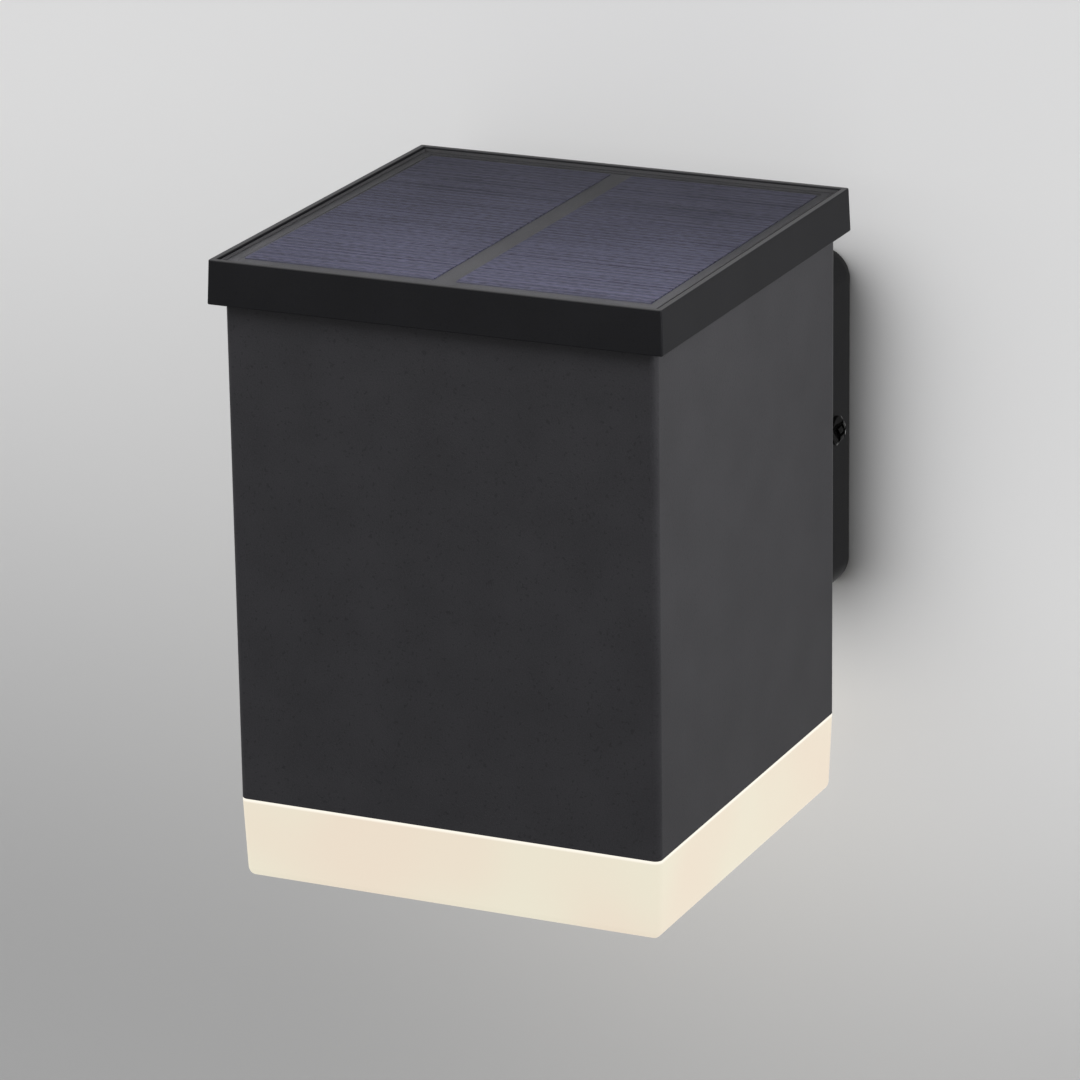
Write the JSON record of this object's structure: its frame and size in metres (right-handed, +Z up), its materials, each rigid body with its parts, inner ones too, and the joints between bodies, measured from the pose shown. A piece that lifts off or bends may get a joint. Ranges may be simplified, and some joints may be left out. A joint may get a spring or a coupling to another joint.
{
  "type": "solar wall light",
  "caption": "Square solar wall light: solar panel lid over a dark metal body, glowing opal diffuser below and a shallow wall canopy, with a push button switch at the back.",
  "frame": {"origin": "middle of the wall bracket's back face, on the wall", "axes": "+Z up, -Y out of the wall towards the viewer, +X to the right as seen from the front"},
  "size_m": [0.11, 0.1267, 0.1472],
  "materials": {
    "lid_coat": "satin",
    "body_coat": "matte",
    "canopy_coat": "matte",
    "panel_base": "satin",
    "solar_cell": "gloss",
    "clear_cover": "gloss",
    "foam": "matte",
    "seal": "matte",
    "zinc": "satin",
    "black_screw": "gloss",
    "white_tray": "satin",
    "light_board": "satin",
    "light_chip": "satin",
    "circuit_board": "satin",
    "dark_component": "satin",
    "connector": "satin",
    "battery_wrap": "gloss",
    "opal": "satin",
    "switch_plastic": "satin",
    "lead": "satin"
  },
  "bodies": {
    "lamp": {"lid_frame": "lid_coat", "panel_tape": "foam", "panel_board": "panel_base", "solar_cells_left": "solar_cell", "solar_cells_right": "solar_cell", "panel_cover": "clear_cover", "lid_gasket": "seal", "body_shell": "body_coat", "wall_canopy": "canopy_coat", "canopy_seal": "seal", "canopy_screws": "zinc", "wall_gasket": "seal", "wall_bracket": "zinc", "side_screws": "black_screw", "reflector_tray": "white_tray", "tie_screws": "zinc", "led_pad": "foam", "led_board": "light_board", "led_chips": "light_chip", "control_board": "circuit_board", "board_screws": "zinc", "board_chips": "dark_component", "board_coil": "dark_component", "board_capacitor": "dark_component", "board_connectors": "connector", "battery_holder": "dark_component", "battery_cell": "battery_wrap", "battery_contacts": "zinc", "diffuser": "opal", "diffuser_gasket": "seal", "switch_housing": "switch_plastic", "switch_seal": "seal", "switch_nut": "zinc", "switch_terminals": "zinc", "panel_leads": "lead", "led_leads": "lead", "switch_leads": "lead"},
    "button": {"switch_button": "switch_plastic"}
  },
  "joints": [
    {"name": "button_press", "type": "slide", "parent": "lamp", "child": "button", "axis": [0, -1, 0], "range_m": [0, 0.0015], "stiffness_N_per_m": 600, "springref_m": -0.001}
  ]
}
